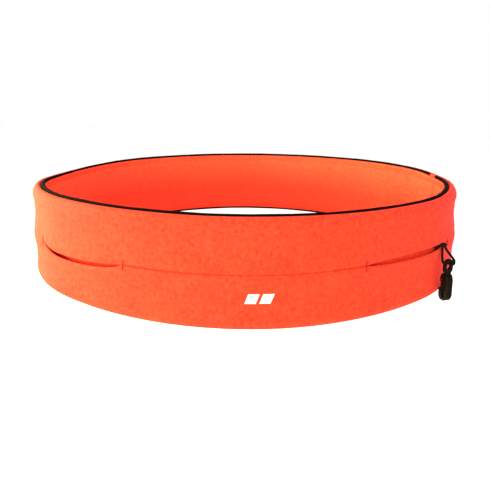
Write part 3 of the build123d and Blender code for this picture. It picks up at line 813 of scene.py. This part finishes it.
def build_stitches():
    front = [stitch_row(-SLIT_START, SLIT_START, SEAM_Z, 7.6, SEAM_PITCH, SEAM_STITCH, 0.35)]
    rear_halves = ((SLIT_END, SLIT_END + 138.4), (-179.9, -179.9 + 138.4))
    rear = [stitch_row(*half, SEAM_Z, 7.4, SEAM_PITCH, SEAM_STITCH, 0.3) for half in rear_halves]
    face = LINING_OFFSET - FABRIC / 2 + 0.10
    upper = [full_row(z, face, -0.32) for z in UPPER_STITCH_ROWS]
    lower = [full_row(z, face, -0.32) for z in LOWER_STITCH_ROWS]
    for name, rows, node, radius, material in (
        ("front_seam_stitches", front, "front_seam_thread", SEAM_RADIUS, SEAM_THREAD),
        ("rear_seam_stitches", rear, "rear_seam_thread", SEAM_RADIUS, SEAM_THREAD),
        ("upper_topstitches", upper, "upper_topstitch", FINE_RADIUS, TOP_THREAD),
        ("lower_topstitches", lower, "lower_topstitch", FINE_RADIUS, TOP_THREAD),
    ):
        piece = threads(name, np.concatenate(rows), radius)
        finish_piece(piece, [node], material)


def add_tacks(name, headings, size, node):
    paths = [path for heading in headings for path in bar_tack(heading, *size)]
    finish_piece(threads(name, paths, FINE_RADIUS), [node], TACK_THREAD)


def build_tacks():
    left = (-SLIT_START + 0.3, -SLIT_END - 0.9)
    add_tacks("left_slit_tack_stitches", left, SLIT_TACK, "left_slit_bar_tacks")
    add_tacks("right_slit_tack_stitches", (SLIT_START - 0.3,), SLIT_TACK, "right_slit_bar_tack")


def build_join():
    """The folded fabric over both pipings at the loop's join, and the rows that close the loop."""
    headings = JOIN_HEADING + np.linspace(-2.6, 2.6, 24)
    for name, side in (("top_join_wrap", 1), ("bottom_join_wrap", -1)):
        centre = (PIPING_OFFSET, side * PIPING_Z)
        first, last = (68, 212) if side > 0 else (148, 292)
        line = arc_points(centre, PIPING_RADIUS + 0.35, first, last, 14)
        edge = 1 + 0.05 * np.cos(np.linspace(-np.pi, np.pi, len(headings)))
        lines = centre + (line[None] - centre) * edge[:, None, None]
        wrap = sweep(name + "_knit", headings, thicken(lines, FABRIC * 0.5), False)
        finish_piece(wrap, [name], OUTER_KNIT)
    paths = []
    for turn in (-JOIN_ROW_TURN, JOIN_ROW_TURN):
        heading = JOIN_HEADING + turn
        for z in np.arange(-32.0, 32.0, 2.5):
            rows = z + np.linspace(0, 2.1, 5)
            zig = heading + 0.10 * np.linspace(-1, 1, 5)
            arch = np.cos(np.linspace(-1.3, 1.3, 5))
            paths.append(band_points(zig, 0.08 - 0.32 * arch, rows))
            if abs(z + 1 - SEAM_Z) > 2.2:
                panel_side = 1 if z > SEAM_Z else -1
                lift = skin_offset(np.full(5, heading), panel_side, rows)
                paths.append(band_points(zig, lift - 0.1 + 0.32 * arch, rows))
    piece = threads("side_join_stitches", paths, FINE_RADIUS)
    finish_piece(piece, ["side_join_stitching"], TOP_THREAD)


def build_mark():
    """Two slanted dashes of film pressed onto the front of the lower panel."""
    points, faces, uv = [], [], []
    columns, rows = 14, 12
    size = rows * columns
    for left in DASH_LEFTS:
        base = len(points)
        for face in FILM_FACES:
            for i in range(rows):
                up = i / (rows - 1)
                z = DASH_Z + DASH_HEIGHT * up
                for j in range(columns):
                    x = left - DASH_SLANT + DASH_SLANT * up + DASH_LENGTH * j / (columns - 1)
                    turn = math.asin(x / (FRONT_NOSE_RADIUS + WALL_OFFSET + lean(z)))
                    heading = math.degrees(turn)
                    lift = skin_offset([heading], -1, z)[0] + face
                    points.append(band_points(heading, lift, z))
                    uv.append((x, z))
        for i in range(rows - 1):
            for j in range(columns - 1):
                a = base + i * columns + j
                b = a + size
                faces.append((a, a + columns, a + columns + 1, a + 1))
                faces.append((b, b + 1, b + columns + 1, b + columns))
        rim = list(range(columns))
        rim += [i * columns + columns - 1 for i in range(1, rows)]
        rim += [(rows - 1) * columns + j for j in range(columns - 2, -1, -1)]
        rim += [i * columns for i in range(rows - 2, 0, -1)]
        for a, b in zip(rim, rim[1:] + rim[:1]):
            faces.append((base + a, base + b, base + size + b, base + size + a))
    mark = new_object("reflective_dashes", points, faces, uv, smooth=False)
    finish_piece(mark, ["reflective_mark"], FILM)


# ------------------------------------------------------------------ the leash
TILT = math.atan2(FLARE, 2 * EDGE_Z)
ROOT_SKIN = WALL_OFFSET + FABRIC / 2 / math.cos(TILT)
ROOT_POINT = band_points(ROOT_HEADING, ROOT_SKIN, SEAM_Z)
ROOT_OUTWARD = np.append(outward(ROOT_HEADING), 0)
WALL_NORMAL = ROOT_OUTWARD * math.cos(TILT) + np.array([0, 0, math.sin(TILT)])
ALONG_BAND = np.append(outward(ROOT_HEADING + 90), 0)
UP_WALL = np.cross(WALL_NORMAL, ALONG_BAND)


def hang_point(along, up, out):
    """A point from the leash's root: along the band, up the wall and out of it."""
    return ROOT_POINT + ALONG_BAND * along + UP_WALL * up + WALL_NORMAL * out


def spline_points(route, count):
    """Even points on the smooth spline through a route, read from a curve with no bevel."""
    curve = bpy.data.curves.new("route", "CURVE")
    curve.dimensions = "3D"
    curve.resolution_u = 24
    spline = curve.splines.new("NURBS")
    spline.points.add(len(route) - 1)
    for point, place in zip(spline.points, route):
        point.co = (*place, 1.0)
    spline.order_u = 3
    spline.use_endpoint_u = True
    carrier = bpy.data.objects.new("route", curve)
    bpy.context.scene.collection.objects.link(carrier)
    bpy.context.view_layer.update()
    mesh = bpy.data.meshes.new_from_object(carrier)
    line = np.array([v.co for v in mesh.vertices], float)
    bpy.data.objects.remove(carrier)
    bpy.data.meshes.remove(mesh)
    bpy.data.curves.remove(curve)
    distance = np.concatenate([[0], np.cumsum(np.linalg.norm(np.diff(line, axis=0), axis=1))])
    even = np.linspace(0, distance[-1], count)
    return np.stack([np.interp(even, distance, line[:, k]) for k in range(3)], -1)


def build_leash():
    route = [hang_point(0, up, out) * MM for up, out in CORD_ROUTE]
    line = spline_points(route, 72)
    along = np.gradient(line, axis=0)
    along /= np.linalg.norm(along, axis=1, keepdims=True)
    wide = np.repeat(ALONG_BAND[None], len(line), 0)
    thick = np.cross(along, wide)
    turns = np.linspace(0, 2 * np.pi, 20, endpoint=False)
    reach = np.linspace(0, 1, len(line))
    half_wide = CORD_WIDTH / 2 * MM * (1 + 0.05 * np.sin(reach * 40))
    half_thick = CORD_THICKNESS / 2 * MM
    flat = np.sign(np.cos(turns)) * np.abs(np.cos(turns)) ** 0.9
    ring = (
        wide[:, None] * flat[None, :, None] * half_wide[:, None, None]
        + thick[:, None] * np.sin(turns)[None, :, None] * half_thick
    )
    points = (line[:, None] + ring).reshape(-1, 3) / MM
    length = np.linalg.norm(np.diff(line, axis=0), axis=1).sum()
    around = turns / (2 * np.pi) * 6.0
    uv = np.stack(np.meshgrid(reach * length / MM, around, indexing="ij"), -1).reshape(-1, 2)
    cord = new_object("leash_braid", points, tube_faces(len(line), len(turns), False), uv)
    cord.data.materials.append(LEASH)
    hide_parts("leash_cord")
    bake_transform(cord)


def rounded_block(corners_low, corners_high, steps, roundness):
    """Points and faces of a box in the leash's frame with rounded edges."""
    mesh = bmesh.new()
    bmesh.ops.create_cube(mesh, size=1.0)
    bmesh.ops.subdivide_edges(mesh, edges=mesh.edges[:], cuts=steps, use_grid_fill=True)
    low, high = np.array(corners_low), np.array(corners_high)
    middle, half = (low + high) / 2, (high - low) / 2
    core = half - roundness
    points = []
    for vert in mesh.verts:
        p = np.array(vert.co) * 2 * half
        inner = np.clip(p, -core, core)
        away = p - inner
        size = np.linalg.norm(away)
        p = inner + (away / size * roundness if size > 1e-9 else away)
        points.append(p + middle)
    faces = [tuple(v.index for v in face.verts) for face in mesh.faces]
    mesh.free()
    return np.array(points), faces


def build_tab():
    """Webbing behind the slit's outer end, and its fold that comes out and grips the leash."""
    headings = np.linspace(TAB_START, TAB_END, 40)
    t = np.linspace(-1, 1, 16)
    # The inner end is cut at a slant, so the webbing comes in from under the slit's upper lip.
    cut = np.clip((TAB_START + TAB_CUT - headings) / TAB_CUT, 0, 1)[:, None]
    z = SEAM_Z + TAB_HEIGHT / 2 * (t[None] + 0.93 * cut * (1 - t[None]))
    middle = WALL_OFFSET - FABRIC / 2 - TAB_THICKNESS / 2 - 0.1
    d = middle + 0.1 * np.cos(t * np.pi)[None] + 0 * z
    strip = sweep("leash_tab_strip", headings, thicken(np.stack([d, z], -1), TAB_THICKNESS), False)
    finish_piece(strip, ["leash_tab"], WEBBING)
    # The fold reaches half a millimetre below the leash's ends, so that it holds them when they swing.
    low = (-ROOT_HALF_WIDTH, ROOT_BOTTOM - 0.5, -1.6)
    high = (ROOT_HALF_WIDTH, ROOT_TOP, ROOT_OUT - 0.2)
    points, faces = rounded_block(low, high, 9, 0.9)
    squeeze = 1 - 0.10 * np.cos((points[:, 2] - 2.6) * 1.3)
    placed = np.array([hang_point(p[0] * s, p[1], p[2]) for p, s in zip(points, squeeze)])
    uv = np.stack([points[:, 0] + points[:, 2], points[:, 1]], -1)
    fold = new_object("leash_tab_fold", placed, faces, uv)
    finish_piece(fold, [], WEBBING)
    add_tacks("leash_tack_stitches", (TAB_TACK_HEADING,), LEASH_TACK, "leash_bar_tack")


def dress_hook():
    """The hook's hard parts keep their CAD shapes and get their own materials."""
    plastic, metal = ("hook_eye", "hook_body", "hook_gate"), ("gate_pin", "gate_spring")
    for names, material in ((plastic, HOOK_PLASTIC), (metal, STEEL)):
        for name in names:
            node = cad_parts[name]
            node.data.materials.clear()
            node.data.materials.append(material)


build_band()
build_piping()
build_hems()
build_facing()
build_stitches()
build_tacks()
build_join()
build_mark()
build_tab()
build_leash()
dress_hook()


# ------------------------------------------------------------------ studio
def area_light(name, place, target, size, power, colour):
    data = bpy.data.lights.new(name, "AREA")
    data.shape = "RECTANGLE"
    data.size, data.size_y = size
    data.energy = power
    data.color = colour
    lamp = bpy.data.objects.new(name, data)
    lamp.location = place
    aim = Vector(target) - Vector(place)
    lamp.rotation_euler = aim.to_track_quat("-Z", "Y").to_euler()
    bpy.context.scene.collection.objects.link(lamp)


def build_studio():
    white = Nodes("studio_white")
    set_shader(white.shader, Base_Color=rgba(0.99, 0.99, 0.99), Roughness=0.9)
    corners = np.array([(-1, -1, 0), (1, -1, 0), (1, 1, 0), (-1, 1, 0)]) * FLOOR_REACH
    floor = new_object("floor", corners / MM, [(0, 1, 2, 3)], smooth=False)
    floor.location = (0, 0, FLOOR_Z)
    floor.data.materials.append(white.material)
    world = bpy.data.worlds.new("studio")
    world.use_nodes = True
    sky = world.node_tree.nodes["Background"]
    sky.inputs["Color"].default_value = rgba(1.0, 1.0, 1.0)
    sky.inputs["Strength"].default_value = 1.0
    bpy.context.scene.world = world
    for light in LIGHTS:
        area_light(*light)


def build_camera():
    data = bpy.data.cameras.new("camera")
    data.sensor_width = SENSOR_WIDTH
    data.lens = LENS
    data.clip_start = 0.01
    camera = bpy.data.objects.new("camera", data)
    camera.location = CAMERA_PLACE
    pitch = Matrix.Rotation(math.radians(90) - CAMERA_DOWN, 4, "X")
    camera.rotation_euler = (pitch @ Matrix.Rotation(CAMERA_ROLL, 4, "Z")).to_euler()
    bpy.context.scene.collection.objects.link(camera)
    bpy.context.scene.camera = camera


build_studio()
build_camera()
bpy.context.scene.view_settings.view_transform = "Standard"

bpy.context.view_layer.update()
